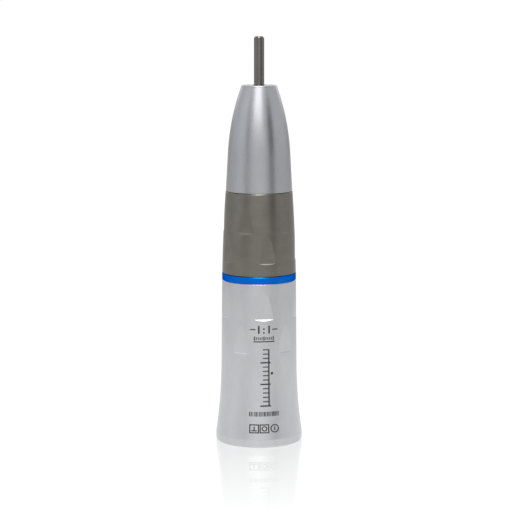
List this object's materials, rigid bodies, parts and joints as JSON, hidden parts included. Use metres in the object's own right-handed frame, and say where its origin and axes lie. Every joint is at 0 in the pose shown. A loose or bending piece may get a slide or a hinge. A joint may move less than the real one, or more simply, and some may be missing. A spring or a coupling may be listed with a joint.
{
  "type": "straight dental handpiece",
  "caption": "Straight 1:1 nose-cone handpiece on its rear rim, with a twist ring that opens a collet chuck, a blue band, a dimpled grip and a plain shank in the chuck.",
  "frame": {"origin": "centre of the rear rim that the handpiece stands on", "axes": "+Z along the axis from the rear rim to the nose and the shank; -Y is the front of the grip, where the marks are"},
  "size_m": [0.02, 0.02, 0.0933],
  "materials": {
    "nose_steel": "satin, fine bead-blasted",
    "ring_steel": "satin, warm titanium grey",
    "sheath_steel": "satin, light matt silver",
    "blue_band": "satin blue",
    "polished_steel": "polished",
    "machined_steel": "fine turned",
    "bearing_steel": "ground and polished",
    "spring_steel": "drawn wire",
    "bronze": "fine turned",
    "seal_rubber": "matt black",
    "cage_resin": "matt brown resin"
  },
  "bodies": {
    "housing": {"nose_cone": "nose_steel", "colour_ring": "blue_band", "rear_sheath": "sheath_steel", "spindle_housing": "machined_steel", "coupling_sleeve": "machined_steel", "sheath_o_ring": "seal_rubber", "ring_seal_rear": "seal_rubber", "ring_seal_front": "seal_rubber", "nose_o_ring": "seal_rubber", "front_seal": "seal_rubber", "bearing_outer_spacer": "machined_steel", "front_bearing_nut": "machined_steel", "rear_bearing_nut": "machined_steel", "preload_disc_spring": "spring_steel", "front_bearing_outer_race": "bearing_steel", "middle_bearing_outer_race": "bearing_steel", "rear_bearing_outer_race": "bearing_steel"},
    "locking_ring": {"locking_ring": "ring_steel", "cam_sleeve": "machined_steel"},
    "chuck_slider": {"push_sleeve": "bronze", "cam_pins": "polished_steel"},
    "spindle": {"spindle_tube": "machined_steel", "drive_shaft": "machined_steel", "spindle_nut": "machined_steel", "bearing_inner_spacer": "machined_steel", "front_bearing_inner_race": "bearing_steel", "middle_bearing_inner_race": "bearing_steel", "rear_bearing_inner_race": "bearing_steel", "chuck_spring": "spring_steel", "dog_spring": "spring_steel"},
    "ball_sets": {"front_bearing_balls": "bearing_steel", "front_bearing_cage": "cage_resin", "middle_bearing_balls": "bearing_steel", "middle_bearing_cage": "cage_resin", "rear_bearing_balls": "bearing_steel", "rear_bearing_cage": "cage_resin"},
    "collet": {"collet": "polished_steel", "draw_nut": "machined_steel", "cross_pin": "polished_steel", "thrust_collar": "bronze"},
    "drive_dog": {"drive_dog": "polished_steel", "dog_pin": "polished_steel"},
    "test_pin": {"test_pin": "polished_steel"}
  },
  "joints": [
    {"name": "ring_turn", "type": "hinge", "parent": "housing", "child": "locking_ring", "pos_m": [0, 0, 0.0486], "axis": [0, 0, 1], "range_deg": [0, 50]},
    {"name": "slider_travel", "type": "slide", "parent": "housing", "child": "chuck_slider", "axis": [0, 0, 1], "range_m": [0, 0.00133]},
    {"name": "spindle_spin", "type": "hinge", "parent": "housing", "child": "spindle", "pos_m": [0, 0, 0.06], "axis": [0, 0, 1], "continuous": true},
    {"name": "balls_orbit", "type": "hinge", "parent": "housing", "child": "ball_sets", "pos_m": [0, 0, 0.06], "axis": [0, 0, 1], "continuous": true},
    {"name": "collet_travel", "type": "slide", "parent": "spindle", "child": "collet", "axis": [0, 0, 1], "range_m": [0, 0.001], "deforming": ["chuck_spring"]},
    {"name": "dog_travel", "type": "slide", "parent": "spindle", "child": "drive_dog", "axis": [0, 0, 1], "range_m": [0, 0.0015], "stiffness_N_per_m": 600, "springref_m": -0.001, "deforming": ["dog_spring"]},
    {"name": "pin_pull", "type": "slide", "parent": "collet", "child": "test_pin", "axis": [0, 0, 1], "range_m": [0, 0.036]}
  ],
  "couplings": [
    {"joint": "slider_travel", "follows": "ring_turn", "m_per_rad": 0.001523},
    {"joint": "collet_travel", "follows": "ring_turn", "m_per_rad": 0.001145},
    {"joint": "balls_orbit", "follows": "spindle_spin", "ratio": 0.4}
  ]
}
